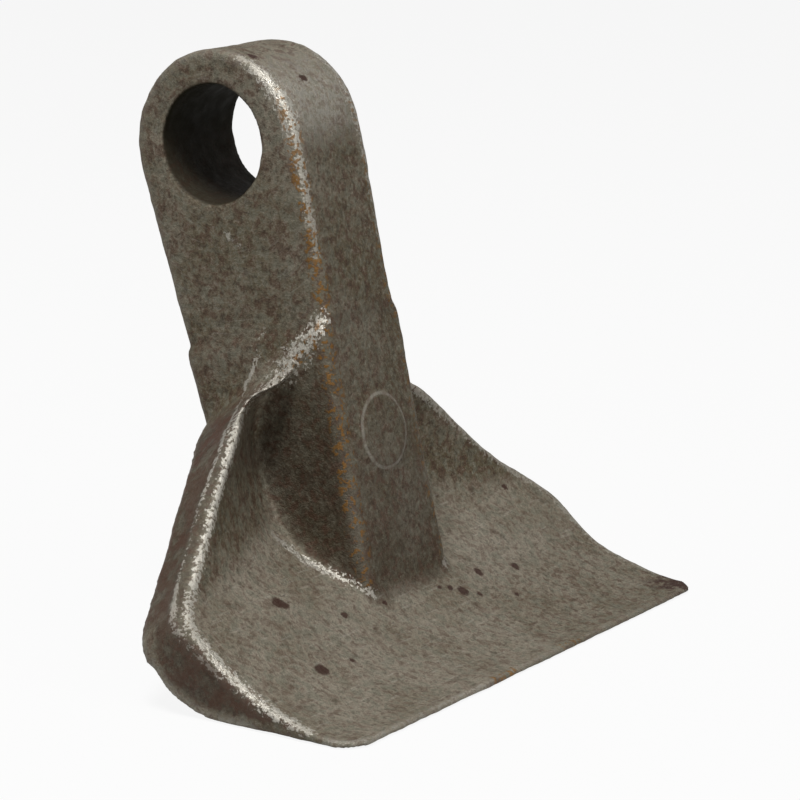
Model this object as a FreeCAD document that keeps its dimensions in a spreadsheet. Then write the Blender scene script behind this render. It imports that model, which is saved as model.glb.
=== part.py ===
# Mulcher hammer blade: one steel forging that hangs from a pin through its eye.
# Millimetres. The origin is the middle of the eye's bore, Y runs along the pin,
# X points to the cutting edge and Z points up.
import FreeCAD, Part
import math
import os
import Sketcher

doc = FreeCAD.newDocument("mulcher_hammer_blade")
sizes = doc.addObject("Spreadsheet::Sheet", "sizes")

driving_sizes = {
    # Eye and shank
    "bore_diameter": 20.5,
    "bore_chamfer": 0.3,
    "eye_radius": 17.1,
    "eye_forward": 0.7,
    "eye_drop": 0.8,
    "milled_thickness": 20.8,
    "milled_edge_radius": 1.2,
    "forged_thickness": 24.2,
    "back_lean": 18.0,
    "front_lean": 12.0,
    "shank_length": 62.0,
    "milled_front_length": 28.6,
    "milled_back_length": 36.5,
    "forged_edge_radius": 1.8,
    # Rib that carries the shank's front face down into the scoop
    "rib_top": 38.0,
    "rib_foot_height": 5.8,
    "rib_top_width": 23.9,
    "rib_bottom_width": 26.2,
    "rib_root_top_width": 20.6,
    "rib_root_bottom_width": 29.6,
    "rib_root_lean": 19.9,
    "rib_root_reach": 10.5,
    "rib_root_height": 13.4,
    # Raised round pad on the rib
    "pad_diameter": 13.0,
    "pad_drop": 48.8,
    "pad_height": 0.5,
    # Die direction, sole and heel
    "draw_angle": 35.0,
    "lip_thickness": 1.12,
    "heel_radius": 16.0,
    "heel_forward": 34.7,
    "heel_turn": 57.0,
    "edge_trim": 2.1,
    "tip_radius": 6.0,
    "tip_clearance": 0.3,
}

# Forging sections of the blade, from its root inside the shank to the cutting edge.
# step is the distance along the blade from the section before, and the first is from the
# bore's axis. Each other pair is a corner of the section: half the width there, and how
# far the corner lies in front of the bore's axis.
section_fields = (
    "step", "spine_half", "spine", "back_half", "back",
    "flash_half", "flash", "rim_half", "rim", "floor_half", "floor",
)
section_corners = ("spine", "back", "flash", "rim", "floor")
sections = {
    "root": (32.0, 5.0, -26.5, 8.0, -25.5, 8.2, -9.0, 6.0, 3.6, 5.4, 1.8),
    "node": (5.0, 7.2, -28.2, 10.4, -27.7, 12.4, -13.6, 11.4, 2.0, 8.6, 0.6),
    "shoulder": (3.0, 9.0, -29.0, 13.2, -28.0, 14.8, -17.0, 15.0, -6.9, 9.8, -8.4),
    "neck": (3.5, 10.5, -30.6, 20.6, -26.6, 21.8, -16.2, 22.0, -13.0, 10.2, -18.6),
    "flare": (4.7, 11.0, -31.6, 29.2, -23.8, 30.0, -14.4, 27.4, -12.8, 10.6, -22.8),
    "wing": (8.2, 11.0, -31.9, 38.9, -25.0, 39.6, -17.3, 36.6, -15.2, 10.8, -24.2),
    "bend": (9.2, 11.0, -30.2, 48.8, -27.5, 49.6, -19.5, 46.3, -17.5, 10.8, -23.6),
    "corner": (6.2, 11.0, -28.8, 55.4, -28.4, 56.2, -19.4, 53.8, -17.9, 10.8, -20.2),
    "end": (3.8, 11.0, -28.4, 56.6, -28.4, 57.3, -17.9, 55.8, -16.9, 10.8, -17.9),
    "apron": (7.6, 11.0, -27.4, 56.4, -27.4, 56.9, -15.7, 55.7, -14.7, 10.8, -14.7),
    "lip": (8.8, 11.0, -19.0, 56.0, -19.0, 56.7, -11.2, 55.8, -10.4, 10.8, -10.4),
    "brink": (6.0, 11.0, -12.0, 56.0, -12.0, 56.7, -6.3, 55.9, -5.7, 10.8, -5.7),
    "edge": (7.2, 11.0, -5.0, 56.0, -5.0, 56.6, 2.7, 55.9, 3.3, 10.8, 3.3),
}

# A point nearer to a plane than this lies on it
touching = 0.001

# Formulas used in more than one place
front_lean = "(sizes.front_lean * 1 deg)"
back_lean = "(sizes.back_lean * 1 deg)"
root_lean = "(sizes.rib_root_lean * 1 deg)"
draw_angle = "(sizes.draw_angle * 1 deg)"
front_reach = (f"(sizes.eye_radius + sizes.eye_forward * cos({front_lean})"
               f" - sizes.eye_drop * sin({front_lean}))")
back_reach = (f"(sizes.eye_radius - sizes.eye_forward * cos({back_lean})"
              f" + sizes.eye_drop * sin({back_lean}))")
blade_length = "(" + " + ".join(f"sizes.{name}_step" for name in sections) + ")"
edge_reach = f"(sizes.edge_floor * cos({draw_angle}) + {blade_length} * sin({draw_angle}))"
edge_drop = f"({blade_length} * cos({draw_angle}) - sizes.edge_floor * sin({draw_angle}))"
sole_drop = f"({edge_drop} + sizes.lip_thickness)"


def fill_sheet():
    values = dict(driving_sizes)
    for name, numbers in sections.items():
        for field, number in zip(section_fields, numbers):
            values[f"{name}_{field}"] = number
    for row, (alias, value) in enumerate(values.items(), start=1):
        sizes.set(f"A{row}", alias)
        sizes.set(f"B{row}", str(value))
        sizes.setAlias(f"B{row}", alias)
    doc.recompute()


def worth(formula):
    result = sizes.evalExpression(formula)
    return float(getattr(result, "Value", result))


def point(x, y):
    return FreeCAD.Vector(worth(x), worth(y), 0)


def origin_plane(body, role):
    for item in body.Origin.OriginFeatures:
        if item.Role == role:
            return item
    raise RuntimeError(role)


def new_sketch(body, name, role):
    sketch = body.newObject("Sketcher::SketchObject", name)
    sketch.AttachmentSupport = [(origin_plane(body, role), "")]
    sketch.MapMode = "FlatFace"
    return sketch


def leaning_sketch(body, name, angle, along_x, along_z):
    """Sketch whose plane is turned about the pin's direction and moved in side view."""
    sketch = new_sketch(body, name, "YZ_Plane")
    turn = FreeCAD.Rotation(FreeCAD.Vector(1, 0, 0), worth(angle))
    sketch.AttachmentOffset = FreeCAD.Placement(FreeCAD.Vector(0, worth(along_z), worth(along_x)), turn)
    sketch.setExpression(".AttachmentOffset.Rotation.Angle", angle)
    sketch.setExpression(".AttachmentOffset.Base.y", along_z)
    sketch.setExpression(".AttachmentOffset.Base.z", along_x)
    return sketch


def bind(sketch, kind, reference, name, formula):
    sketch.addConstraint(Sketcher.Constraint(kind, *reference, worth(formula)))
    sketch.renameConstraint(sketch.ConstraintCount - 1, name)
    sketch.setExpression(f"Constraints.{name}", formula)


def join(sketch, first, first_end, second, second_end, kind="Coincident"):
    sketch.addConstraint(Sketcher.Constraint(kind, first, first_end, second, second_end))


def add_line(sketch, start, stop):
    return sketch.addGeometry(Part.LineSegment(start, stop), False)


def bind_start(sketch, line, name, x, y):
    bind(sketch, "DistanceX", (-1, 1, line, 1), f"{name}_across", x)
    bind(sketch, "DistanceY", (-1, 1, line, 1), f"{name}_up", y)


def closed_outline(sketch, corners):
    """Straight-sided outline. Each corner has a name and two formulas."""
    points = [point(x, y) for _, x, y in corners]
    lines = [add_line(sketch, a, b) for a, b in zip(points, points[1:] + points[:1])]
    for line, following in zip(lines, lines[1:] + lines[:1]):
        join(sketch, line, 2, following, 1)
    for line, (name, x, y) in zip(lines, corners):
        bind_start(sketch, line, name, x, y)
    return lines


def mirrored_outline(sketch, corners):
    """Outline whose left half mirrors the named corners of its right half."""
    right = [point(x, y) for _, x, y in corners]
    left = [FreeCAD.Vector(-p.x, p.y, 0) for p in reversed(right)]
    points = right + left
    lines = [add_line(sketch, a, b) for a, b in zip(points, points[1:] + points[:1])]
    for line, following in zip(lines, lines[1:] + lines[:1]):
        join(sketch, line, 2, following, 1)
    for index, (name, x, y) in enumerate(corners):
        bind_start(sketch, lines[index], name, x, y)
        opposite = lines[len(lines) - 1 - index]
        sketch.addConstraint(Sketcher.Constraint("Symmetric", lines[index], 1, opposite, 1, -2))
    return lines


def pad(body, name, sketch, length):
    feature = body.newObject("PartDesign::Pad", name)
    feature.Profile = sketch
    feature.SideType = "Symmetric"
    feature.setExpression("Length", length)
    doc.recompute()
    return feature


def edge_names(shape, wanted):
    return [f"Edge{index}" for index, edge in enumerate(shape.Edges, start=1) if wanted(edge)]


def round_edges(body, name, wanted, radius):
    """Fillet on the body's edges for which wanted(edge) is true."""
    base = body.Tip
    names = edge_names(base.Shape, wanted)
    if not names:
        raise RuntimeError(f"{name} found no edge")
    feature = body.newObject("PartDesign::Fillet", name)
    feature.Base = (base, names)
    feature.setExpression("Radius", radius)
    feature.Refine = False
    doc.recompute()
    return feature


def cut_through(body, name, sketch):
    """Pocket through the whole body, both ways from its sketch."""
    before = body.Shape.Volume
    feature = body.newObject("PartDesign::Pocket", name)
    feature.Profile = sketch
    feature.Type = "ThroughAll"
    feature.SideType = "Symmetric"
    feature.Refine = False
    doc.recompute()
    if body.Shape.Volume >= before:
        raise RuntimeError(f"{name} removed nothing")
    return feature


def round_outline(body, name, half_thickness, low, radius):
    """Fillet the outline on both side faces of a padded form, but not its hidden bottom."""
    half = worth(half_thickness)
    bottom = worth(low)

    def on_side_outline(edge):
        ends = edge.Vertexes
        on_side = all(abs(abs(end.Y) - half) < touching for end in ends)
        across = abs(ends[0].Y - ends[-1].Y) > half
        at_bottom = all(abs(end.Z - bottom) < touching for end in ends)
        return on_side and not across and not at_bottom

    return round_edges(body, name, on_side_outline, radius)


def front_x(height):
    """Forward distance of the front line at a height."""
    return f"({front_reach} - {height} * sin({front_lean})) / cos({front_lean})"


def back_x(height):
    """Forward distance of the back line at a height."""
    return f"(-{height} * sin({back_lean}) - {back_reach}) / cos({back_lean})"


def build_shank():
    """Eye and shank in side view, as thick as the milled faces leave them."""
    body = doc.addObject("PartDesign::Body", "shank_form")
    sketch = new_sketch(body, "shank_outline", "XZ_Plane")
    back = math.radians(worth("sizes.back_lean"))
    front = math.radians(worth("sizes.front_lean"))
    radius = worth("sizes.eye_radius")
    eye = point("sizes.eye_forward", "-sizes.eye_drop")
    low = "(-sizes.shank_length)"
    front_low = point(front_x(low), low)
    back_low = point(back_x(low), low)
    front_high = eye + FreeCAD.Vector(math.cos(front), math.sin(front), 0) * radius
    back_high = eye - FreeCAD.Vector(math.cos(back), math.sin(back), 0) * radius
    circle = Part.Circle(eye, FreeCAD.Vector(0, 0, 1), radius)
    crown = sketch.addGeometry(Part.ArcOfCircle(circle, front, math.pi + back), False)
    back_line = add_line(sketch, back_high, back_low)
    bottom = add_line(sketch, back_low, front_low)
    front_line = add_line(sketch, front_low, front_high)
    join(sketch, crown, 2, back_line, 1, "Tangent")
    join(sketch, back_line, 2, bottom, 1)
    join(sketch, bottom, 2, front_line, 1)
    join(sketch, front_line, 2, crown, 1, "Tangent")
    bind(sketch, "DistanceX", (-1, 1, crown, 3), "eye_across", "sizes.eye_forward")
    bind(sketch, "DistanceY", (-1, 1, crown, 3), "eye_up", "-sizes.eye_drop")
    bind(sketch, "Radius", (crown,), "eye_radius", "sizes.eye_radius")
    bind_start(sketch, bottom, "back_low", back_x(low), low)
    bind_start(sketch, front_line, "front_low", front_x(low), low)
    pad(body, "shank", sketch, "sizes.milled_thickness")
    round_outline(body, "milled_round", "sizes.milled_thickness / 2", low, "sizes.milled_edge_radius")
    return body


def build_forged_body():
    """Thicker forged skin that starts where the milled faces run out."""
    body = doc.addObject("PartDesign::Body", "skin_form")
    sketch = new_sketch(body, "skin_outline", "XZ_Plane")
    low = "(-sizes.shank_length)"
    front_high = "(-sizes.milled_front_length)"
    back_high = "(-sizes.milled_back_length)"
    closed_outline(sketch, [
        ("front_low", front_x(low), low),
        ("front_high", front_x(front_high), front_high),
        ("back_high", back_x(back_high), back_high),
        ("back_low", back_x(low), low),
    ])
    pad(body, "skin", sketch, "sizes.forged_thickness")
    round_outline(body, "forged_round", "sizes.forged_thickness / 2", low, "sizes.forged_edge_radius")
    return body


def build_section(name):
    """One closed section of the blade, square to the blade's own length."""
    sketch = doc.addObject("Sketcher::SketchObject", f"{name}_section")
    passed = list(sections)[:list(sections).index(name) + 1]
    distance = "(" + " + ".join(f"sizes.{item}_step" for item in passed) + ")"
    across = f"{distance} * sin({draw_angle})"
    down = f"-{distance} * cos({draw_angle})"
    sketch.setExpression("Placement", f"placement(vector({across}; 0; {down});"
                                      " rotation(90; 0; 180 - sizes.draw_angle))")
    corners = [(part, f"sizes.{name}_{part}_half", f"sizes.{name}_{part}") for part in section_corners]
    mirrored_outline(sketch, corners)
    return sketch


def build_blade():
    """Scooped fishtail blade, lofted smoothly through its sections."""
    outlines = [build_section(name) for name in sections]
    doc.recompute()
    loft = doc.addObject("Part::Loft", "blade_form")
    loft.Sections = outlines
    loft.Solid = True
    loft.Ruled = False
    loft.MaxDegree = 2
    doc.recompute()
    return loft


def join_forms(forms):
    joined = doc.addObject("Part::MultiFuse", "joined_forms")
    joined.Shapes = forms
    joined.Refine = False
    doc.recompute()
    return joined


def rib_outline(body, name, lean, reach, bottom):
    sketch = leaning_sketch(body, name, f"-{lean} / 1 deg", f"{reach} * cos({lean})",
                            f"{reach} * sin({lean})")
    low = f"(-{bottom} - {reach} * sin({lean})) / cos({lean})"
    high = f"(-sizes.rib_top - {reach} * sin({lean})) / cos({lean})"
    corners = [("top", f"sizes.{name}_top_width / 2", high),
               ("bottom", f"sizes.{name}_bottom_width / 2", low)]
    mirrored_outline(sketch, corners)
    return sketch


def build_rib():
    """Rib between the wings: its front face carries on from the shank's."""
    body = doc.addObject("PartDesign::Body", "rib_form")
    front = rib_outline(body, "rib", front_lean, front_reach, f"({sole_drop} - sizes.rib_foot_height)")
    root = rib_outline(body, "rib_root", root_lean, "(-sizes.rib_root_reach)",
                       f"({sole_drop} - sizes.rib_root_height)")
    doc.recompute()
    loft = body.newObject("PartDesign::AdditiveLoft", "rib_sides")
    loft.Profile = front
    loft.Sections = [root]
    loft.Ruled = True
    doc.recompute()
    lean = math.radians(worth("sizes.front_lean"))
    reach = worth(front_reach)

    def on_long_front_edge(edge):
        ends = edge.Vertexes
        off = [end.X * math.cos(lean) + end.Z * math.sin(lean) - reach for end in ends]
        return max(map(abs, off)) < touching and abs(ends[0].Z - ends[-1].Z) > 1

    round_edges(body, "rib_edges", on_long_front_edge, "sizes.forged_edge_radius")
    return body


def trim_sole(body):
    """Flat sole with a rounded heel, cut across the whole width."""
    sketch = new_sketch(body, "sole_outline", "XZ_Plane")
    turn = math.radians(worth("sizes.heel_turn"))
    radius = worth("sizes.heel_radius")
    middle_z = f"(sizes.heel_radius - {sole_drop})"
    middle = point("sizes.heel_forward", middle_z)
    heel_x = "sizes.heel_forward - sizes.heel_radius * sin(sizes.heel_turn * 1 deg)"
    heel_z = f"{middle_z} - sizes.heel_radius * cos(sizes.heel_turn * 1 deg)"
    heel = point(heel_x, heel_z)
    sole_z = f"(-{sole_drop})"
    toe = point("sizes.heel_forward", sole_z)
    far_x = f"({blade_length} + {sole_drop})"
    low_z = f"(-{blade_length} - {sole_drop})"
    circle = Part.Circle(middle, FreeCAD.Vector(0, 0, 1), radius)
    arc = sketch.addGeometry(Part.ArcOfCircle(circle, 1.5 * math.pi - turn, 1.5 * math.pi), False)
    sole = add_line(sketch, toe, point(far_x, sole_z))
    end = add_line(sketch, point(far_x, sole_z), point(far_x, low_z))
    floor = add_line(sketch, point(far_x, low_z), point(sole_z, low_z))
    rear = add_line(sketch, point(sole_z, low_z), point(sole_z, heel_z))
    ledge = add_line(sketch, point(sole_z, heel_z), heel)
    join(sketch, arc, 2, sole, 1)
    join(sketch, sole, 2, end, 1)
    join(sketch, end, 2, floor, 1)
    join(sketch, floor, 2, rear, 1)
    join(sketch, rear, 2, ledge, 1)
    join(sketch, ledge, 2, arc, 1)
    bind(sketch, "DistanceX", (-1, 1, arc, 3), "middle_across", "sizes.heel_forward")
    bind(sketch, "DistanceY", (-1, 1, arc, 3), "middle_up", middle_z)
    bind_start(sketch, sole, "toe", "sizes.heel_forward", sole_z)
    bind_start(sketch, end, "front", far_x, sole_z)
    bind_start(sketch, floor, "front_low", far_x, low_z)
    bind_start(sketch, rear, "rear_low", sole_z, low_z)
    bind_start(sketch, ledge, "rear_high", sole_z, heel_z)
    sketch.addConstraint(Sketcher.Constraint("Horizontal", ledge))
    return cut_through(body, "sole_and_heel", sketch)


def trim_plan(body):
    """Straight cutting edge with a rounded corner at each tip, in plan."""
    sketch = new_sketch(body, "plan_outline", "XY_Plane")
    front = f"({edge_reach} - sizes.edge_trim)"
    half = "(sizes.edge_flash_half + sizes.tip_clearance)"
    middle_x = f"({front} - sizes.tip_radius)"
    middle_y = f"({half} - sizes.tip_radius)"
    far_x = f"({edge_reach} + sizes.tip_radius)"
    far_y = f"({half} + sizes.tip_radius)"
    radius = worth("sizes.tip_radius")
    corners = []
    for side, start in ((1, 0), (-1, -0.5 * math.pi)):
        circle = Part.Circle(point(middle_x, f"{side} * {middle_y}"), FreeCAD.Vector(0, 0, 1), radius)
        corners.append(sketch.addGeometry(Part.ArcOfCircle(circle, start, start + 0.5 * math.pi), False))
    left, right = corners
    edge = add_line(sketch, point(front, middle_y), point(front, f"-{middle_y}"))
    right_side = add_line(sketch, point(middle_x, f"-{half}"), point(middle_x, f"-{far_y}"))
    right_far = add_line(sketch, point(middle_x, f"-{far_y}"), point(far_x, f"-{far_y}"))
    ahead = add_line(sketch, point(far_x, f"-{far_y}"), point(far_x, far_y))
    left_far = add_line(sketch, point(far_x, far_y), point(middle_x, far_y))
    left_side = add_line(sketch, point(middle_x, far_y), point(middle_x, half))
    join(sketch, left, 1, edge, 1)
    join(sketch, edge, 2, right, 2)
    join(sketch, right, 1, right_side, 1)
    join(sketch, right_side, 2, right_far, 1)
    join(sketch, right_far, 2, ahead, 1)
    join(sketch, ahead, 2, left_far, 1)
    join(sketch, left_far, 2, left_side, 1)
    join(sketch, left_side, 2, left, 2)
    for name, arc, side in (("left", left, ""), ("right", right, "-")):
        bind(sketch, "DistanceX", (-1, 1, arc, 3), f"{name}_middle_across", middle_x)
        bind(sketch, "DistanceY", (-1, 1, arc, 3), f"{name}_middle_up", f"{side}{middle_y}")
    bind_start(sketch, edge, "edge_left", front, middle_y)
    bind_start(sketch, right_side, "right_tip", middle_x, f"-{half}")
    bind_start(sketch, right_far, "right_corner", middle_x, f"-{far_y}")
    bind_start(sketch, ahead, "ahead_right", far_x, f"-{far_y}")
    bind_start(sketch, left_far, "ahead_left", far_x, far_y)
    bind_start(sketch, left_side, "left_corner", middle_x, far_y)
    join(sketch, right, 3, right, 2, "Horizontal")
    join(sketch, left, 3, left, 2, "Vertical")
    return cut_through(body, "edge_and_tips", sketch)


def bore_eye(body):
    sketch = new_sketch(body, "bore_outline", "XZ_Plane")
    circle = Part.Circle(FreeCAD.Vector(0, 0, 0), FreeCAD.Vector(0, 0, 1), worth("sizes.bore_diameter / 2"))
    ring = sketch.addGeometry(circle, False)
    sketch.addConstraint(Sketcher.Constraint("Coincident", ring, 3, -1, 1))
    bind(sketch, "Diameter", (ring,), "bore_diameter", "sizes.bore_diameter")
    cut_through(body, "bore", sketch)
    radius = worth("sizes.bore_diameter / 2")

    def on_mouth(edge):
        round_one = isinstance(edge.Curve, Part.Circle) and abs(edge.Curve.Radius - radius) < touching
        return round_one and edge.Curve.Center.Length < worth("sizes.forged_thickness")

    bore = body.Tip
    chamfer = body.newObject("PartDesign::Chamfer", "bore_chamfer")
    chamfer.Base = (bore, edge_names(bore.Shape, on_mouth))
    chamfer.setExpression("Size", "sizes.bore_chamfer")
    chamfer.Refine = False
    doc.recompute()
    return chamfer


def raise_pad(body):
    """Low round pad on the rib's front face."""
    sketch = leaning_sketch(body, "pad_outline", f"-{front_lean} / 1 deg",
                            f"{front_reach} * cos({front_lean})", f"{front_reach} * sin({front_lean})")
    height = f"(-sizes.pad_drop - {front_reach} * sin({front_lean})) / cos({front_lean})"
    circle = Part.Circle(point("0", height), FreeCAD.Vector(0, 0, 1), worth("sizes.pad_diameter / 2"))
    ring = sketch.addGeometry(circle, False)
    sketch.addConstraint(Sketcher.Constraint("PointOnObject", ring, 3, -2))
    bind(sketch, "DistanceY", (-1, 1, ring, 3), "pad_up", height)
    bind(sketch, "Diameter", (ring,), "pad_diameter", "sizes.pad_diameter")
    feature = body.newObject("PartDesign::Pad", "round_pad")
    feature.Profile = sketch
    feature.setExpression("Length", "sizes.pad_height")
    feature.Refine = False
    doc.recompute()
    return feature


def check_document():
    for item in doc.Objects:
        if "Invalid" in item.State or "Error" in item.State:
            raise RuntimeError(f"{item.Name} has a fault: {item.State}")
        if hasattr(item, "Shape") and item.TypeId.startswith("PartDesign"):
            if item.Shape.isNull() or not item.Shape.isValid():
                raise RuntimeError(f"{item.Name} has no valid shape")


fill_sheet()
hammer_blade = doc.addObject("PartDesign::Body", "hammer_blade")
hammer_blade.Label = "hammer_blade"
forms = [build_rib(), build_blade(), build_shank(), build_forged_body()]
hammer_blade.BaseFeature = join_forms(forms)
doc.recompute()
trim_sole(hammer_blade)
trim_plan(hammer_blade)
bore_eye(hammer_blade)
raise_pad(hammer_blade)
doc.recompute()
check_document()

if len(hammer_blade.Shape.Solids) != 1:
    raise RuntimeError("the forging is not one solid")
os.makedirs("parts", exist_ok=True)
hammer_blade.Shape.exportStep("parts/hammer_blade.step")
box = hammer_blade.Shape.optimalBoundingBox()
print("volume", round(hammer_blade.Shape.Volume), "box", box)
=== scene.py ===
import math

import bmesh
import bpy
import numpy as np
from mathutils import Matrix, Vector, noise


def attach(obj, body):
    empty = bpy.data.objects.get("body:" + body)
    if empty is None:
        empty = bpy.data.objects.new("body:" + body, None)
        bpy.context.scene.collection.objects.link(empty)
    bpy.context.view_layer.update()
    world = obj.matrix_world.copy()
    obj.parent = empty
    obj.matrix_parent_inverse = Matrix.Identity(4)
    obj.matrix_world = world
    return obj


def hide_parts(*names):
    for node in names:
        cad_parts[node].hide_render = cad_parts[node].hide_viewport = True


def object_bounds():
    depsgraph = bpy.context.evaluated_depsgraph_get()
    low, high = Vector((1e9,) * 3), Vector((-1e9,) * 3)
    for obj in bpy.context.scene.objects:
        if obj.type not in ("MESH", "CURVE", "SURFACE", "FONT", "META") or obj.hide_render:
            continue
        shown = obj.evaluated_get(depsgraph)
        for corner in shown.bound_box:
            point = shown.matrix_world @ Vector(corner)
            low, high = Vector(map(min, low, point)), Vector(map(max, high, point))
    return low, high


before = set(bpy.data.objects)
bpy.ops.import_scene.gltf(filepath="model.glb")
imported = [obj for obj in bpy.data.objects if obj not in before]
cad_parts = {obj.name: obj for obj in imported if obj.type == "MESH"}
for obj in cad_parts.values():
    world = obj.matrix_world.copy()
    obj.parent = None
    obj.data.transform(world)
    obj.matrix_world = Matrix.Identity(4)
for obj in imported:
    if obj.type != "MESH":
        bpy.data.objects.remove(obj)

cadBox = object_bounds()
scene = bpy.context.scene


def addNode(tree, kind, **settings):
    node = tree.nodes.new(kind)
    for name, value in settings.items():
        setattr(node, name, value)
    return node


def plug(tree, socket, value):
    # A value is either another node's output or a plain number or colour
    if isinstance(value, bpy.types.NodeSocket):
        tree.links.new(value, socket)
    else:
        socket.default_value = value


def calculate(tree, operation, first, second=0.0):
    node = addNode(tree, "ShaderNodeMath", operation=operation)
    plug(tree, node.inputs[0], first)
    plug(tree, node.inputs[1], second)
    return node.outputs[0]


def multiply(tree, first, second):
    return calculate(tree, "MULTIPLY", first, second)


def remap(tree, value, low, high, newLow=0.0, newHigh=1.0):
    node = addNode(tree, "ShaderNodeMapRange", interpolation_type="SMOOTHSTEP")
    for name, number in zip(("Value", "From Min", "From Max", "To Min", "To Max"),
                            (value, low, high, newLow, newHigh)):
        plug(tree, node.inputs[name], number)
    return node.outputs["Result"]


def blendColours(tree, factor, first, second):
    node = addNode(tree, "ShaderNodeMix", data_type="RGBA")
    plug(tree, node.inputs[0], factor)
    plug(tree, node.inputs[6], first)
    plug(tree, node.inputs[7], second)
    return node.outputs[2]


def cloudNoise(tree, coordinates, scale, detail, roughness, distortion=0.0):
    node = addNode(tree, "ShaderNodeTexNoise")
    plug(tree, node.inputs["Vector"], coordinates)
    node.inputs["Scale"].default_value = scale
    node.inputs["Detail"].default_value = detail
    node.inputs["Roughness"].default_value = roughness
    node.inputs["Distortion"].default_value = distortion
    return node.outputs["Fac"]


def readAttribute(tree, name):
    return addNode(tree, "ShaderNodeAttribute", attribute_name=name).outputs["Fac"]


print("camera")
viewpoint = {
    "position": (0.3272, -0.45014, 0.07521),
    "azimuth": 33.26,
    "elevation": 12.387,
    "lens": 144.32,
    "sensorWidth": 36,
    "nearClip": 0.01,
}


def aimCamera():
    camera = bpy.data.objects.new("viewCamera", bpy.data.cameras.new("viewCamera"))
    scene.collection.objects.link(camera)
    camera.data.lens = viewpoint["lens"]
    camera.data.sensor_width = viewpoint["sensorWidth"]
    camera.data.clip_start = viewpoint["nearClip"]
    camera.location = viewpoint["position"]
    turn = math.radians(viewpoint["azimuth"])
    tilt = math.radians(viewpoint["elevation"])
    ahead = Vector((-math.sin(turn) * math.cos(tilt), math.cos(turn) * math.cos(tilt), -math.sin(tilt)))
    camera.rotation_euler = ahead.to_track_quat("-Z", "Y").to_euler()
    scene.camera = camera


aimCamera()

print("studio")
studio = {
    "white": (1, 1, 1, 1),
    "floorRadius": 4.0,
    "floorSides": 96,
    "floorGap": 0.0001,
    "floorColour": (0.72, 0.72, 0.715, 1),
    "floorGlow": 0.90,
    "lampTarget": (0.015, 0, -0.03),
    "keyPlace": (0.08, -0.34, 1.05),
    "keySize": 0.45,
    "keyPower": 12.0,
    "sidePlace": (1.1, -0.15, 0.35),
    "sideSize": 0.6,
    "sidePower": 2.4,
    "skyStrength": 0.12,
    "reflectedSky": 3,
}


def addSoftLamp(name, place, size, power):
    lamp = bpy.data.objects.new(name, bpy.data.lights.new(name, "AREA"))
    lamp.data.shape = "DISK"
    lamp.data.size = size
    lamp.data.energy = power
    lamp.location = place
    lamp.rotation_euler = (Vector(studio["lampTarget"]) - Vector(place)).to_track_quat("-Z", "Y").to_euler()
    scene.collection.objects.link(lamp)


def lightSky():
    # Pale sky for the camera and for reflections, a weaker one as fill light
    world = bpy.data.worlds.new("paleStudio")
    scene.world = world
    world.use_nodes = True
    tree = world.node_tree
    tree.nodes.clear()
    rays = addNode(tree, "ShaderNodeLightPath")
    seen = calculate(tree, "MAXIMUM", rays.outputs["Is Camera Ray"], rays.outputs["Is Transmission Ray"])
    fill = multiply(tree, rays.outputs["Is Glossy Ray"], studio["skyStrength"] * studio["reflectedSky"])
    rest = calculate(tree, "MAXIMUM", fill, studio["skyStrength"])
    strength = calculate(tree, "MAXIMUM", seen, rest)
    background = addNode(tree, "ShaderNodeBackground")
    background.inputs["Color"].default_value = studio["white"]
    plug(tree, background.inputs["Strength"], strength)
    tree.links.new(background.outputs[0], addNode(tree, "ShaderNodeOutputWorld").inputs[0])


def layFloor():
    bm = bmesh.new()
    bmesh.ops.create_circle(bm, cap_ends=True, segments=studio["floorSides"], radius=studio["floorRadius"])
    mesh = bpy.data.meshes.new("paleFloor")
    bm.to_mesh(mesh)
    bm.free()
    for vertex in mesh.vertices:
        vertex.co.z = cadBox[0][2] - studio["floorGap"]
    floor = bpy.data.objects.new("paleFloor", mesh)
    scene.collection.objects.link(floor)
    material = bpy.data.materials.new("paleFloor")
    material.use_nodes = True
    tree = material.node_tree
    tree.nodes.clear()
    matt = addNode(tree, "ShaderNodeBsdfDiffuse")
    matt.inputs["Color"].default_value = studio["floorColour"]
    glow = addNode(tree, "ShaderNodeEmission")
    glow.inputs["Color"].default_value = studio["white"]
    rays = addNode(tree, "ShaderNodeLightPath")
    share = multiply(tree, rays.outputs["Is Camera Ray"], studio["floorGlow"])
    mix = addNode(tree, "ShaderNodeMixShader")
    plug(tree, mix.inputs[0], share)
    tree.links.new(matt.outputs[0], mix.inputs[1])
    tree.links.new(glow.outputs[0], mix.inputs[2])
    tree.links.new(mix.outputs[0], addNode(tree, "ShaderNodeOutputMaterial").inputs[0])
    mesh.materials.append(material)


addSoftLamp("keyLamp", studio["keyPlace"], studio["keySize"], studio["keyPower"])
addSoftLamp("sideLamp", studio["sidePlace"], studio["sideSize"], studio["sidePower"])
lightSky()
layFloor()

print("forged skin")
forgedSkin = {
    "mergeGap": 1e-6,
    "gridSize": 0.00057,
    "edgePasses": 3,
    "hollowPasses": 45,
    "hollowReach": 40,
    "hollowBlur": 6,
    "bandPasses": 10,
    "ridgeReach": 16,
    "lipPlace": (0.0402, -0.0072, 0.0158),
    "lipPull": (0.0016, 0.0, -0.0009),
    "dentDepth": 0.00013,
    "dentScale": 110,
    "grainDepth": 0.00008,
    "grainScale": 450,
    "milledDentShare": 0.25,
    "milledHalfThickness": 0.0104,
    "milledHeight": -0.0350,
    "milledSlope": 0.265,
    "drawAngle": 35.0,
    "frontLean": 12.0,
    "frontReach": 0.01762,
    "heelRadius": 0.016,
    "heelForward": 0.0347,
    "soleDrop": 0.0854,
}
# The scoop's rear edge: along the blade and off its plane
scoopEdge = ((0.0368, 0.0015), (0.040, -0.0075), (0.0435, -0.0145), (0.052, -0.027), (0.08, -0.027))
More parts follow.
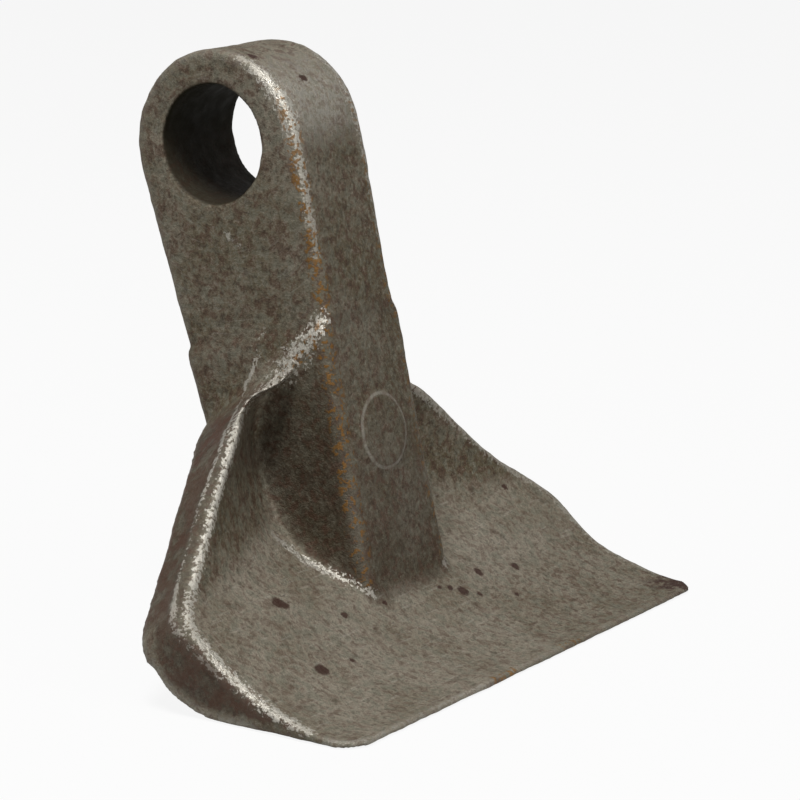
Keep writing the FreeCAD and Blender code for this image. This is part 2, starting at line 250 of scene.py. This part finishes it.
# Lines that wear bright and carry a painted highlight: along the blade, off its plane, half its width there, wear and
# highlight, line width
rimLine = (
    (0.0364, 0.0036, 0.0116, 1.0, 0.0017),
    (0.0378, -0.0010, 0.0128, 0.9, 0.0019),
    (0.0400, -0.0069, 0.0150, 0.8, 0.0029),
    (0.0435, -0.0130, 0.0220, 0.9, 0.0025),
    (0.0482, -0.0128, 0.0274, 1.0, 0.0013),
    (0.0564, -0.0152, 0.0366, 1.0, 0.0010),
    (0.0656, -0.0175, 0.0463, 1.0, 0.0010),
    (0.0718, -0.0179, 0.0538, 0.8, 0.0010),
    (0.0756, -0.0169, 0.0558, 0.65, 0.0010),
    (0.0832, -0.0147, 0.0557, 0.8, 0.0013),
    (0.0920, -0.0104, 0.0558, 0.85, 0.0013),
    (0.0980, -0.0057, 0.0559, 0.6, 0.0009),
)
eyeLine = (
    (-0.0093, 0.0136, 0.0096, 0.45, 0.0010),
    (-0.0048, 0.0160, 0.0096, 0.9, 0.0015),
    (0.0000, 0.0170, 0.0097, 1.0, 0.0019),
    (0.0043, 0.0168, 0.0098, 1.0, 0.0018),
    (0.0102, 0.0149, 0.0096, 0.75, 0.0012),
    (0.0267, 0.0078, 0.0096, 0.35, 0.0007),
)
partingLine = (
    (0.0320, -0.0089, 0.0104, 0.35, 0.0005),
    (0.0363, -0.0128, 0.0121, 0.75, 0.0005),
    (0.0385, -0.0165, 0.0132, 0.75, 0.0005),
    (0.0419, -0.0160, 0.0189, 0.75, 0.0005),
    (0.0482, -0.0148, 0.0304, 0.7, 0.0005),
    (0.0564, -0.0178, 0.0400, 0.7, 0.0005),
    (0.0656, -0.0200, 0.0500, 0.6, 0.0005),
    (0.0718, -0.0199, 0.0564, 0.5, 0.0006),
    (0.0832, -0.0157, 0.0571, 0.25, 0.0006),
)
chipLine = (
    (0.0143, -0.0064, 0.0104, 0.55, 0.0005),
    (0.0152, -0.0060, 0.0104, 0.55, 0.0005),
    (0.0163, -0.0055, 0.0104, 0.1, 0.0003),
    (0.0174, -0.0048, 0.0104, 0.45, 0.0004),
)
footLine = (
    (0.0634, -0.0226, 0.0182, 0.3, 0.0008),
    (0.0665, -0.0225, 0.0166, 0.9, 0.0009),
    (0.0727, -0.0195, 0.0154, 1.0, 0.0010),
    (0.0765, -0.0174, 0.0136, 1.0, 0.0010),
    (0.0803, -0.0149, 0.0115, 0.7, 0.0009),
)


def evenMesh(piece):
    # Even grid over the CAD faces, so that edges soften and small dents have points to move
    bm = bmesh.new()
    bm.from_mesh(piece.data)
    bmesh.ops.remove_doubles(bm, verts=bm.verts, dist=forgedSkin["mergeGap"])
    bm.to_mesh(piece.data)
    bm.free()
    remesh = piece.modifiers.new("evenGrid", "REMESH")
    remesh.mode = "VOXEL"
    remesh.voxel_size = forgedSkin["gridSize"]
    bpy.context.view_layer.update()
    finished = bpy.data.meshes.new_from_object(piece.evaluated_get(bpy.context.evaluated_depsgraph_get()))
    piece.modifiers.clear()
    piece.data = finished


def vertexPoints(mesh):
    points = np.zeros(len(mesh.vertices) * 3)
    mesh.vertices.foreach_get("co", points)
    return points.reshape(-1, 3)


def vertexNormals(mesh):
    normals = np.zeros(len(mesh.vertices) * 3)
    mesh.vertices.foreach_get("normal", normals)
    return normals.reshape(-1, 3)


def movePoints(mesh, points):
    mesh.vertices.foreach_set("co", points.ravel())
    mesh.update()


def meshPairs(mesh):
    pairs = np.zeros(len(mesh.edges) * 2, np.int32)
    mesh.edges.foreach_get("vertices", pairs)
    return pairs.reshape(-1, 2)


def neighbourMean(values, pairs):
    counts = np.bincount(pairs.ravel(), minlength=len(values)).astype(float)
    total = np.zeros_like(values)
    for column in range(values.shape[1]):
        total[:, column] = (np.bincount(pairs[:, 0], values[pairs[:, 1], column], len(values))
                            + np.bincount(pairs[:, 1], values[pairs[:, 0], column], len(values)))
    return total / counts[:, None]


def smoothed(points, pairs, passes, share):
    for _ in range(passes):
        points = points + share * (neighbourMean(points, pairs) - points)
    return points


def bulge(mesh, passes):
    # How far each point stands out of its smoothed surroundings, along its normal
    points = vertexPoints(mesh)
    return ((points - smoothed(points, meshPairs(mesh), passes, 1.0)) * vertexNormals(mesh)).sum(1)


def smoothStep(values, low, high):
    share = np.clip((values - low) / (high - low), 0, 1)
    return share * share * (3 - 2 * share)


def soften(mesh):
    # Every edge a little, and the hollow corners at the rib's foot and behind the rim much more
    pairs = meshPairs(mesh)
    points = vertexPoints(mesh)
    aboveSole = smoothStep(points[:, 2], -0.0852, -0.0815)[:, None]
    movePoints(mesh, smoothed(points, pairs, forgedSkin["edgePasses"], 0.12 + 0.38 * aboveSole))
    points = vertexPoints(mesh)
    outsideBore = smoothStep(np.hypot(points[:, 0], points[:, 2]), 0.0125, 0.0145)
    hollow = smoothStep(-bulge(mesh, forgedSkin["hollowReach"]), 0.00006, 0.00035) * outsideBore
    hollow = smoothed(hollow[:, None], pairs, forgedSkin["hollowBlur"], 1.0)
    points = smoothed(points, pairs, forgedSkin["hollowPasses"], 0.5 * hollow)
    movePoints(mesh, points)
    at = readPlaces(mesh)
    band = 1 - smoothStep(lineField(at, rimLine[:4])[0], 0.2, 0.6)[:, None]
    points = smoothed(points, pairs, forgedSkin["bandPasses"], 0.5 * band)
    place = np.stack([at["along"], at["off"], at["side"]], 1)
    reach = np.linalg.norm(place - forgedSkin["lipPlace"], axis=1)
    pull = (1 - smoothStep(reach, 0.0008, 0.0065)) * smoothStep(at["side"], 0.0118, 0.0132)
    movePoints(mesh, points + pull[:, None] * np.array(forgedSkin["lipPull"]))


def readPlaces(mesh):
    # Where each point lies, in the part's axes and along and off the blade, and where its surface faces
    points = vertexPoints(mesh)
    normals = vertexNormals(mesh)
    angle = math.radians(forgedSkin["drawAngle"])
    lean = math.radians(forgedSkin["frontLean"])
    x, y, z = points.T
    heelX, heelRadius = forgedSkin["heelForward"], forgedSkin["heelRadius"]
    aboveSole = z + forgedSkin["soleDrop"]
    return {
        "x": x, "y": y, "side": np.abs(y), "z": z,
        "along": x * math.sin(angle) - z * math.cos(angle),
        "off": x * math.cos(angle) + z * math.sin(angle),
        "bore": np.hypot(x, z),
        "front": x * math.cos(lean) + z * math.sin(lean) - forgedSkin["frontReach"],
        "heel": np.where(x < heelX, heelRadius - np.hypot(x - heelX, aboveSole - heelRadius), aboveSole),
        "aboveMilled": z - forgedSkin["milledHeight"] - forgedSkin["milledSlope"] * x,
        "sideways": np.abs(normals[:, 1]), "up": normals[:, 2], "forward": normals[:, 0],
        "inward": -np.sign(y) * normals[:, 1],
        "ahead": normals[:, 0] * math.cos(angle) + normals[:, 2] * math.sin(angle),
    }


def milledMask(at):
    # The flat faces round the eye stop at a line that runs down towards the back
    flat = smoothStep(at["sideways"], 0.9, 0.99)
    high = smoothStep(at["aboveMilled"], -0.0006, 0.0006)
    thin = 1 - smoothStep(at["side"], forgedSkin["milledHalfThickness"] + 0.0003,
                          forgedSkin["milledHalfThickness"] + 0.0009)
    return flat * high * thin


def scoopMask(at):
    # In front of the rim: the scoop's floor and the rib's flanks
    rim = np.interp(at["along"], *zip(*scoopEdge))
    ahead = smoothStep(at["off"], rim - 0.0006, rim + 0.0006)
    ahead = ahead * (1 - (1 - smoothStep(at["ahead"], -0.15, 0.10)) * smoothStep(at["side"], 0.0125, 0.0150))
    inward = smoothStep(at["inward"], 0.02, 0.15) * smoothStep(at["side"], 0.0125, 0.0135)
    return np.maximum(ahead, inward) * smoothStep(at["along"], 0.0368, 0.038)


def lineField(at, line):
    # Distance to a line as a share of twice its width, and the wear and painted highlight there
    place = np.stack([at["along"], at["off"], at["side"]], 1)
    ratio = np.full(len(place), 9.0)
    wearAndSheen = np.zeros(len(place))
    for first, second in zip(line, line[1:]):
        start = np.array(first[:3])
        run = np.array(second[:3]) - start
        share = np.clip((place - start) @ run / (run @ run), 0, 1)
        gap = np.linalg.norm(place - start - share[:, None] * run, axis=1)
        here = gap / (first[4] + share * (second[4] - first[4])) / 2
        wearAndSheen = np.where(here < ratio, first[3] + share * (second[3] - first[3]), wearAndSheen)
        ratio = np.minimum(here, ratio)
    return ratio, wearAndSheen


def storeLine(mesh, name, field, strength):
    storeAttribute(mesh, name, field[0])
    storeAttribute(mesh, name + "WearAndSheen", field[1] * strength * (1 - smoothStep(field[0], 0.7, 1.0)))


def storeAttribute(mesh, name, values):
    layer = mesh.attributes.new(name, "FLOAT", "POINT")
    layer.data.foreach_set("value", np.clip(values, 0, 1).astype(np.float32))


def paintWearAndLight(mesh, at, milled):
    # One painted layer for each kind of finish and for painted light and shade, which the material reads by name
    ridge = bulge(mesh, forgedSkin["ridgeReach"])
    scoop = scoopMask(at)
    atFrontEdge = smoothStep(at["front"], -0.003, -0.0018) * smoothStep(at["side"], 0.0065, 0.0085)
    atFrontEdge = atFrontEdge * (1 - smoothStep(at["side"], 0.0145, 0.016))
    shankEdge = atFrontEdge * (1 - smoothStep(at["z"], 0.001, 0.005))
    atMouth = 1 - smoothStep(at["bore"], 0.0112, 0.0122)
    atMilledLine = 1 - smoothStep(np.abs(at["aboveMilled"]), 0.0010, 0.0020)
    atMilledLine = atMilledLine * (1 - smoothStep(at["side"], 0.0125, 0.0130))
    atSole = 1 - smoothStep(at["heel"], 0.0006, 0.0020)
    wingRim = smoothStep(at["side"], 0.0125, 0.014) * smoothStep(at["off"], -0.030, -0.026)
    # Convex edges wear bright, partly as a painted highlight where rounded edges catch the light
    wornAndSheen = smoothStep(ridge, 0.00008, 0.00042) * (1 - atMouth) * (1 - 0.9 * atMilledLine)
    wornAndSheen = wornAndSheen * (1 - 0.85 * shankEdge) * (1 - 0.55 * atSole)
    wornAndSheen = wornAndSheen * (0.5 + 0.5 * np.maximum(wingRim, atFrontEdge))
    eyeRidge = smoothStep(ridge, 0.00002, 0.00016) * atFrontEdge * smoothStep(at["z"], -0.006, 0.004)
    nearSide = 1 - 0.6 * smoothStep(at["y"], 0, 0.02)
    wornAndSheen = wornAndSheen * (1 - 0.6 * smoothStep(at["side"], 0.02, 0.03) * (1 - atSole))
    # Painted highlight on the eye's forward-facing upper front, weaker at the crown
    crown = 1 - 0.35 * smoothStep(at["z"], 0.0095, 0.0135)
    eyeBrowHighlight = 0.50 * smoothStep(at["forward"], 0.25, 0.6) * smoothStep(at["z"], -0.002, 0.006)
    eyeBrowHighlight = eyeBrowHighlight * crown * (1 - atMouth)
    rim = lineField(at, rimLine)
    wornAndSheen = wornAndSheen * (0.2 + 0.8 * smoothStep(rim[0], 1.2, 2.4))
    wornAndSheen = np.maximum.reduce([0.8 * wornAndSheen, 0.45 * eyeRidge, eyeBrowHighlight]) * nearSide
    storeLine(mesh, "rimLine", rim, nearSide)
    parting = lineField(at, partingLine)
    storeLine(mesh, "partingLine", parting, nearSide)
    # Painted shade on the strip between the rim and parting lines
    betweenLines = (1 - smoothStep(parting[0], 1.2, 2.4)) * smoothStep(rim[0], 0.35, 0.60)
    betweenLines = betweenLines * smoothStep(at["along"], 0.0415, 0.0435)
    storeLine(mesh, "footLine", lineField(at, footLine), nearSide)
    storeLine(mesh, "eyeLine", lineField(at, eyeLine), nearSide)
    storeLine(mesh, "chipLine", lineField(at, chipLine), nearSide * (at["y"] < 0))
    # Painted shade, with some dark scale, on the rib's flanks and in the pocket under the rim, less on the far side
    flank = smoothStep(at["sideways"], 0.35, 0.7) * (1 - smoothStep(at["side"], 0.0175, 0.0195)) * scoop
    pocket = scoop * (1 - smoothStep(at["along"], 0.046, 0.057)) * smoothStep(at["side"], 0.008, 0.010)
    pocket = pocket * (1 - 0.8 * smoothStep(at["y"], 0, 0.01))
    under = smoothStep(at["inward"], 0.05, 0.3) * (1 - smoothStep(at["along"], 0.048, 0.056))
    pocket = np.maximum(pocket, scoop * under)
    endFace = smoothStep(at["sideways"], 0.6, 0.85) * smoothStep(at["side"], 0.050, 0.053)
    endBand = endFace * smoothStep(at["heel"], 0.0016, 0.0026)
    endBand = endBand * (0.5 + 0.5 * smoothStep(at["x"], 0.018, 0.028))
    # Painted shade on the rib's front face, stronger towards its foot
    frontFace = smoothStep(at["front"], -0.0012, -0.0004) * (1 - smoothStep(at["front"], 0.0012, 0.0022))
    frontFace = frontFace * (1 - smoothStep(at["side"], 0.0125, 0.0135)) * smoothStep(at["forward"], 0.5, 0.8)
    low = 1 - smoothStep(at["z"], -0.075, -0.020)
    outer = (1 - scoop) * smoothStep(at["side"], 0.0135, 0.020) * (1 - endFace)
    outer = outer * (1 - smoothStep(at["side"], 0.0555, 0.057))
    inBore = 1 - smoothStep(at["bore"], 0.0104, 0.0107)
    # Painted shade on the down-facing faces
    soleShade = smoothStep(-at["up"], 0.7, 0.9) * 0.5
    # The painted shade on the scoop's walls is weaker near the neck
    belowNeck = 0.5 + 0.5 * smoothStep(at["along"], 0.040, 0.058)
    scoopWalls = np.maximum(0.76 * flank, 0.85 * pocket) * belowNeck
    # The dark layer is painted shade with some dark scale: the scoop's walls, the strip between the rim and parting
    # lines, the end band, the rib's front towards its foot, the bore, the down-facing faces, the wings' outer faces
    # and the milled step line
    dark = np.maximum.reduce([scoopWalls, 0.7 * betweenLines, 0.9 * endBand, (0.12 + 0.5 * low) * frontFace,
                              inBore, soleShade, 0.85 * outer, 0.5 * atMilledLine])
    # Painted light on the up-facing scoop floor, which also carries real scratches
    floor = scoop * (1 - flank) * (1 - pocket) * smoothStep(at["up"], 0.35, 0.6)
    floor = floor * (1 - 0.5 * smoothStep(at["y"], 0, 0.016) * smoothStep(at["z"], -0.076, -0.080))
    floor = floor * (1 - betweenLines)
    eyeTop = smoothStep(at["up"], 0.05, 0.5) * smoothStep(at["z"], -0.002, 0.010) * crown
    facet = (1 - scoop) * smoothStep(at["along"], 0.0360, 0.0375)
    facet = facet * (1 - smoothStep(at["along"], 0.0420, 0.0440))
    facet = facet * smoothStep(at["side"], 0.0112, 0.0122) * smoothStep(at["off"], -0.0165, -0.0145)
    storeAttribute(mesh, "milled", milled)
    storeAttribute(mesh, "wornAndSheen", wornAndSheen)
    storeAttribute(mesh, "outer", np.maximum(outer, 0.7 * endBand))
    storeAttribute(mesh, "dark", dark)
    # Painted shade inside the bore, darker towards its top
    storeAttribute(mesh, "bore", inBore * (0.65 + 0.35 * smoothStep(at["z"], -0.006, 0.004)))
    # Painted light on the eye's top, the upper side faces and the facet
    highSideLight = 0.45 * smoothStep(at["z"], -0.030, -0.002) * smoothStep(at["sideways"], 0.7, 0.9)
    storeAttribute(mesh, "pale", np.maximum.reduce([floor, eyeTop, highSideLight, 0.5 * facet]))
    storeAttribute(mesh, "scratched", floor)
    bandRust = smoothStep(rim[0], 0.05, 0.2) * (1 - smoothStep(rim[0], 0.5, 0.9))
    bandRust = bandRust * (at["along"] < 0.041) * scoop
    edgeRust = atFrontEdge * smoothStep(ridge, 0.00002, 0.0002)
    storeAttribute(mesh, "edgeRust", np.maximum(bandRust, edgeRust) * nearSide)
    # Darker patch at the far tip's end
    storeAttribute(mesh, "farTipDark", smoothStep(at["y"], 0.0470, 0.0505) * smoothStep(at["x"], 0.0515, 0.0550))


def dentSkin(mesh, milled):
    # Slight unevenness of the forged skin, less of it on the milled faces, kept inside the CAD box
    points = vertexPoints(mesh)
    normals = vertexNormals(mesh)
    depths = np.zeros(len(points))
    for index, place in enumerate(points):
        broad = noise.fractal(Vector(place) * forgedSkin["dentScale"], 1.0, 2.0, 3)
        fine = noise.fractal(Vector(place) * forgedSkin["grainScale"], 1.0, 2.0, 2)
        depths[index] = forgedSkin["dentDepth"] * broad + forgedSkin["grainDepth"] * fine
    moved = points - normals * (depths * (1 - (1 - forgedSkin["milledDentShare"]) * milled))[:, None]
    movePoints(mesh, np.clip(moved, np.array(cadBox[0]), np.array(cadBox[1])))


def buildForgedBlade():
    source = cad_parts["hammer_blade"]
    piece = bpy.data.objects.new("forged_hammer_blade", source.data.copy())
    scene.collection.objects.link(piece)
    piece.data.materials.clear()
    evenMesh(piece)
    mesh = piece.data
    soften(mesh)
    at = readPlaces(mesh)
    milled = milledMask(at)
    paintWearAndLight(mesh, at, milled)
    dentSkin(mesh, milled)
    for polygon in mesh.polygons:
        polygon.use_smooth = True
    print("skin", len(mesh.vertices), "points", sum(len(p.vertices) - 2 for p in mesh.polygons), "triangles")
    return piece


blade = buildForgedBlade()

print("forged steel")
forgedSteel = {
    "scaleColour": (0.098, 0.075, 0.037, 1),
    "paleScaleAndLightColour": (0.30, 0.265, 0.208, 1),
    "brownScaleColour": (0.045, 0.026, 0.014, 1),
    "darkScaleAndShadeColour": (0.046, 0.032, 0.019, 1),
    "wornAndSheenColour": (0.62, 0.59, 0.52, 1),
    "rustColour": (0.23, 0.105, 0.014, 1),
    "redScaleColour": (0.080, 0.036, 0.020, 1),
    "greenScaleColour": (0.150, 0.148, 0.108, 1),
    "boreShadeColour": (0.012, 0.011, 0.006, 1),
    "darkRustColour": (0.034, 0.009, 0.004, 1),
    "padCentre": (0.02839, 0, -0.0488),
    "padRadius": 0.0065,
}
# Rust specks on the scoop's floor, on the eye and at the far tip: place and radius
rustSpecks = (
    (0.0291, -0.0325, -0.0719, 0.0009),
    (0.0297, -0.0318, -0.0723, 0.0007),
    (0.0414, -0.0376, -0.0801, 0.0009),
    (0.0347, -0.0210, -0.0759, 0.0005),
    (0.0420, -0.0297, -0.0803, 0.0004),
    (0.0354, -0.0099, -0.0763, 0.0004),
    (0.0364, 0.0060, -0.0771, 0.0004),
    (0.0386, 0.0101, -0.0784, 0.0008),
    (0.0372, 0.0080, -0.0776, 0.0005),
    (0.0366, 0.0185, -0.0772, 0.0006),
    (0.0403, 0.0130, -0.0794, 0.0004),
    (0.0381, 0.0285, -0.0782, 0.0006),
    (0.0431, 0.0209, -0.0808, 0.0004),
    (0.0255, 0.0454, -0.0687, 0.0004),
    (0.0128, -0.0010, 0.0113, 0.0005),
    (0.0066, -0.0072, 0.0152, 0.0006),
)


def distanceTo(tree, place, centre):
    node = addNode(tree, "ShaderNodeVectorMath", operation="DISTANCE")
    plug(tree, node.inputs[0], place)
    node.inputs[1].default_value = centre
    return node.outputs["Value"]


def speckMask(tree, place, ragged):
    mask = 0.0
    for x, y, z, radius in rustSpecks:
        edge = calculate(tree, "ADD", distanceTo(tree, place, (x, y, z)), ragged)
        spot = remap(tree, edge, radius * 1.8, radius * 1.1)
        mask = calculate(tree, "MAXIMUM", spot, mask)
    return mask


def millingArcs(tree, place):
    # Faint curved tool marks round the bore
    parts = addNode(tree, "ShaderNodeSeparateXYZ")
    plug(tree, parts.inputs[0], place)
    flat = addNode(tree, "ShaderNodeCombineXYZ")
    plug(tree, flat.inputs[0], parts.outputs[0])
    plug(tree, flat.inputs[2], parts.outputs[2])
    radius = addNode(tree, "ShaderNodeVectorMath", operation="LENGTH")
    plug(tree, radius.inputs[0], flat.outputs[0])
    turn = calculate(tree, "ARCTAN2", parts.outputs[0], parts.outputs[2])
    polar = addNode(tree, "ShaderNodeCombineXYZ")
    plug(tree, polar.inputs[0], multiply(tree, radius.outputs["Value"], 1800))
    plug(tree, polar.inputs[1], multiply(tree, turn, 3))
    return cloudNoise(tree, polar.outputs[0], 1.0, 2, 0.5)


def wornAndSheenLine(tree, name, flakes):
    # The line's ragged outline and the dark flakes left in it come from the same noise
    ragged = multiply(tree, calculate(tree, "SUBTRACT", flakes, 0.5), 3.0)
    body = remap(tree, calculate(tree, "ADD", readAttribute(tree, name), ragged), 0.52, 0.26)
    return multiply(tree, body, readAttribute(tree, name + "WearAndSheen"))


def padRing(tree, place):
    # The rubbed rim of the raised round pad, partly a painted highlight along its edge
    outside = calculate(tree, "SUBTRACT", distanceTo(tree, place, forgedSteel["padCentre"]), forgedSteel["padRadius"])
    return remap(tree, calculate(tree, "ABSOLUTE", outside), 0.00045, 0.0001)


def coat(tree, colour, factor, name):
    # One more layer of a named colour over what is there
    return blendColours(tree, factor, colour, forgedSteel[name])


def buildForgedSteel():
    material = bpy.data.materials.new("forgedSteel")
    material.use_nodes = True
    tree = material.node_tree
    tree.nodes.clear()
    place = addNode(tree, "ShaderNodeTexCoord").outputs["Object"]
    bore = readAttribute(tree, "bore")
    scratched = readAttribute(tree, "scratched")
    wornAndSheen = readAttribute(tree, "wornAndSheen")
    milled = readAttribute(tree, "milled")
    patches = cloudNoise(tree, place, 60, 5, 0.62)
    mottle = cloudNoise(tree, place, 420, 5, 0.65)
    crumbs = cloudNoise(tree, place, 1000, 4, 0.75)
    grain = cloudNoise(tree, place, 2400, 3, 0.7)
    clumps = cloudNoise(tree, place, 620, 2, 0.6, 0.6)
    dark = readAttribute(tree, "dark")

    colour = blendColours(tree, remap(tree, patches, 0.38, 0.66, 0.05, 0.5), forgedSteel["scaleColour"],
                          forgedSteel["paleScaleAndLightColour"])
    # Painted light from the pale layer on up-facing and upper faces
    pale = multiply(tree, readAttribute(tree, "pale"), remap(tree, patches, 0.34, 0.60, 0.42, 0.72))
    colour = coat(tree, colour, pale, "paleScaleAndLightColour")
    light = calculate(tree, "SUBTRACT", 1, multiply(tree, dark, 0.75))
    # Painted shade, with some dark scale, from the dark layer
    colour = coat(tree, colour, multiply(tree, dark, 0.85), "darkScaleAndShadeColour")
    green = multiply(tree, remap(tree, clumps, 0.50, 0.38, 0, 0.60), light)
    colour = coat(tree, colour, green, "greenScaleColour")
    rough = calculate(tree, "SUBTRACT", 1, multiply(tree, scratched, 0.32))
    red = multiply(tree, remap(tree, clumps, 0.51, 0.63, 0, 0.62), rough)
    colour = coat(tree, colour, red, "redScaleColour")
    colour = coat(tree, colour, remap(tree, mottle, 0.50, 0.70, 0, 0.45), "brownScaleColour")
    pits = multiply(tree, remap(tree, crumbs, 0.50, 0.64, 0, 0.68), rough)
    colour = coat(tree, colour, pits, "brownScaleColour")
    pale = multiply(tree, remap(tree, crumbs, 0.48, 0.34, 0, 0.42), light)
    colour = coat(tree, colour, pale, "paleScaleAndLightColour")
    pale = multiply(tree, remap(tree, grain, 0.54, 0.72, 0, 0.42), light)
    colour = coat(tree, colour, pale, "paleScaleAndLightColour")
    colour = coat(tree, colour, remap(tree, grain, 0.46, 0.30, 0, 0.55), "darkScaleAndShadeColour")
    # Painted shade inside the bore
    colour = coat(tree, colour, multiply(tree, bore, 0.95), "boreShadeColour")

    blotches = remap(tree, cloudNoise(tree, place, 230, 4, 0.65), 0.42, 0.54)
    blotches = multiply(tree, blotches, readAttribute(tree, "outer"))
    colour = coat(tree, colour, multiply(tree, blotches, 0.85), "redScaleColour")
    arcs = multiply(tree, remap(tree, millingArcs(tree, place), 0.56, 0.72), milled)
    colour = coat(tree, colour, multiply(tree, arcs, 0.09), "wornAndSheenColour")
    scrape = addNode(tree, "ShaderNodeMapping")
    plug(tree, scrape.inputs["Vector"], place)
    scrape.inputs["Rotation"].default_value = (0, 0, math.radians(24))
    scrape.inputs["Scale"].default_value = (1, 0.12, 1)
    lines = multiply(tree, remap(tree, cloudNoise(tree, scrape.outputs[0], 1500, 3, 0.6), 0.58, 0.70),
                      scratched)
    colour = coat(tree, colour, multiply(tree, lines, 0.14), "wornAndSheenColour")

    flakes = cloudNoise(tree, place, 1350, 3, 0.7)
    # Wear with painted highlight on edges and lines, which also turns them more metallic and glossy
    rubbedAndSheen = multiply(tree, wornAndSheen, remap(tree, crumbs, 0.42, 0.58, 0.15, 1.0))
    for name in ("rimLine", "partingLine", "footLine", "eyeLine", "chipLine"):
        rubbedAndSheen = calculate(tree, "MAXIMUM", rubbedAndSheen, wornAndSheenLine(tree, name, flakes))
    ring = multiply(tree, padRing(tree, place), remap(tree, crumbs, 0.38, 0.6, 0.08, 0.32))
    rubbedAndSheen = calculate(tree, "MAXIMUM", rubbedAndSheen, ring)
    colour = coat(tree, colour, multiply(tree, rubbedAndSheen, 0.9), "wornAndSheenColour")

    dots = multiply(tree, remap(tree, cloudNoise(tree, place, 1000, 2, 0.6), 0.53, 0.60),
                     readAttribute(tree, "edgeRust"))
    colour = coat(tree, colour, multiply(tree, dots, 0.75), "rustColour")
    ragged = multiply(tree, calculate(tree, "SUBTRACT", crumbs, 0.5), 0.0022)
    rust = speckMask(tree, place, ragged)
    # The far tip's end darkened in the dark rust colour
    rust = calculate(tree, "MAXIMUM", rust, multiply(tree, readAttribute(tree, "farTipDark"),
                                                      remap(tree, mottle, 0.40, 0.52)))
    colour = coat(tree, colour, multiply(tree, rust, 0.9), "darkRustColour")

    steel = addNode(tree, "ShaderNodeBsdfPrincipled")
    plug(tree, steel.inputs["Base Color"], colour)
    openAir = calculate(tree, "SUBTRACT", 1, multiply(tree, bore, 0.85))
    metal = remap(tree, rubbedAndSheen, 0, 1, 0.25, 0.85)
    plug(tree, steel.inputs["Metallic"], multiply(tree, metal, openAir))
    plug(tree, steel.inputs["Specular IOR Level"], multiply(tree, openAir, 0.35))
    roughness = remap(tree, mottle, 0.3, 0.7, 0.50, 0.68)
    shine = multiply(tree, rubbedAndSheen, 0.15)
    plug(tree, steel.inputs["Roughness"], calculate(tree, "SUBTRACT", roughness, shine))
    bump = addNode(tree, "ShaderNodeBump")
    plug(tree, bump.inputs["Strength"], multiply(tree, openAir, 0.85))
    bump.inputs["Distance"].default_value = 0.0004
    height = calculate(tree, "ADD", crumbs, multiply(tree, grain, 0.5))
    plug(tree, bump.inputs["Height"], height)
    plug(tree, steel.inputs["Normal"], bump.outputs[0])
    tree.links.new(steel.outputs[0], addNode(tree, "ShaderNodeOutputMaterial").inputs[0])
    return material


blade.data.materials.append(buildForgedSteel())
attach(blade, "root")
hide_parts("hammer_blade")

scene.view_settings.view_transform = "Standard"
print("finish")
